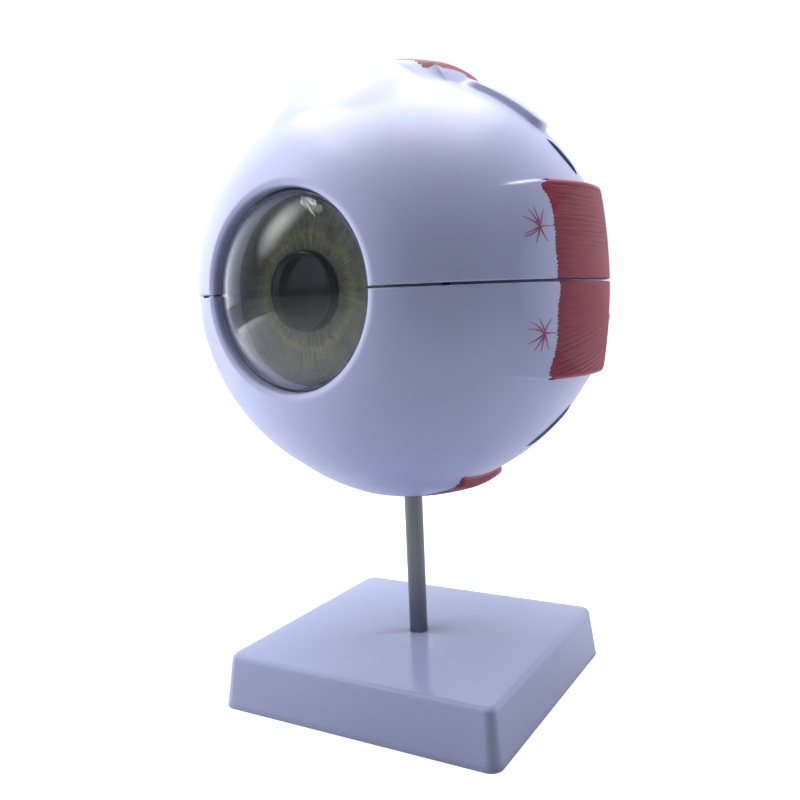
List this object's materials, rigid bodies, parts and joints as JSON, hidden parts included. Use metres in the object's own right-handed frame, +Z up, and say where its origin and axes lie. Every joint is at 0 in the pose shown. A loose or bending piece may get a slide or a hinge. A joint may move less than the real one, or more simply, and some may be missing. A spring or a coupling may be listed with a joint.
{
  "type": "eye anatomy model",
  "caption": "Take-apart classroom model of a human eyeball with muscles, cornea, iris, lens and inner layers, on a steel rod and a square foot.",
  "frame": {"origin": "centre of the foot's underside, on the rod's axis", "axes": "+Z up along the rod, the eye looks along -Y turned 6 degrees to -X, +X is the side of the lateral rectus"},
  "size_m": [0.1514, 0.1751, 0.234],
  "materials": {
    "base_plastic": "glossy moulded plastic, pale lilac",
    "sclera_plastic": "satin-gloss moulded plastic, lilac white",
    "muscle_paint": "brushed-on brick red paint over ribbed plastic",
    "rod_steel": "drawn steel, dull",
    "screw_steel": "zinc-plated steel",
    "cornea_clear": "clear polished acrylic",
    "iris_print": "printed iris under a clear coat",
    "ciliary_paint": "painted dark brown",
    "lens_clear": "clear polished acrylic",
    "choroid_paint": "painted dark red-brown",
    "retina_paint": "painted orange with vessels",
    "vitreous_clear": "clear moulded acrylic",
    "nerve_paint": "painted cream yellow",
    "vein_paint": "brushed-on dark blue paint"
  },
  "bodies": {
    "stand": {"base_shell": "base_plastic"},
    "rod": {"rod": "rod_steel", "rod_washer": "screw_steel", "rod_screw": "screw_steel"},
    "lower_half": {"sclera_lower": "sclera_plastic", "seam_pins": "screw_steel", "inferior_rectus": "muscle_paint", "lateral_rectus_lower": "muscle_paint", "medial_rectus_lower": "muscle_paint", "inferior_oblique": "muscle_paint", "optic_nerve_lower": "nerve_paint", "vortex_veins_lower": "vein_paint"},
    "upper_half": {"sclera_upper": "sclera_plastic", "superior_rectus": "muscle_paint", "lateral_rectus_upper": "muscle_paint", "medial_rectus_upper": "muscle_paint", "superior_oblique": "muscle_paint", "optic_nerve_upper": "nerve_paint", "vortex_veins_upper": "vein_paint"},
    "cornea": {"cornea": "cornea_clear"},
    "iris_ring": {"iris": "iris_print", "ciliary_body": "ciliary_paint"},
    "lens": {"lens": "lens_clear"},
    "lower_lining": {"choroid_lower": "choroid_paint", "retina_lower": "retina_paint"},
    "upper_lining": {"choroid_upper": "choroid_paint", "retina_upper": "retina_paint"},
    "vitreous": {"vitreous_bowl": "vitreous_clear", "vitreous_front": "vitreous_clear"}
  },
  "joints": [
    {"name": "globe_swivel", "type": "hinge", "parent": "stand", "child": "rod", "pos_m": [0, 0, 0.02], "axis": [0, 0, 1], "continuous": true},
    {"name": "globe_lift", "type": "slide", "parent": "rod", "child": "lower_half", "axis": [0, 0, 1], "range_m": [0, 0.03]},
    {"name": "upper_half_lift", "type": "slide", "parent": "lower_half", "child": "upper_half", "axis": [0, 0, 1], "range_m": [0, 0.16]},
    {"name": "upper_lining_lift", "type": "slide", "parent": "lower_half", "child": "upper_lining", "axis": [0, 0, 1], "range_m": [0, 0.128]},
    {"name": "vitreous_lift", "type": "slide", "parent": "lower_half", "child": "vitreous", "axis": [0, 0, 1], "range_m": [0, 0.08]},
    {"name": "lower_lining_lift", "type": "slide", "parent": "lower_half", "child": "lower_lining", "axis": [0, 0, 1], "range_m": [0, 0.0224]},
    {"name": "cornea_slide", "type": "slide", "parent": "lower_half", "child": "cornea", "axis": [-0.1045, -0.9945, 0], "range_m": [0, 0.12]},
    {"name": "iris_slide", "type": "slide", "parent": "lower_half", "child": "iris_ring", "axis": [-0.1045, -0.9945, 0], "range_m": [0, 0.084]},
    {"name": "lens_slide", "type": "slide", "parent": "lower_half", "child": "lens", "axis": [-0.1045, -0.9945, 0], "range_m": [0, 0.048]}
  ],
  "couplings": [
    {"joint": "upper_lining_lift", "follows": "upper_half_lift", "ratio": 0.8},
    {"joint": "vitreous_lift", "follows": "upper_half_lift", "ratio": 0.5},
    {"joint": "lower_lining_lift", "follows": "upper_half_lift", "ratio": 0.14},
    {"joint": "iris_slide", "follows": "cornea_slide", "ratio": 0.7},
    {"joint": "lens_slide", "follows": "cornea_slide", "ratio": 0.4}
  ]
}
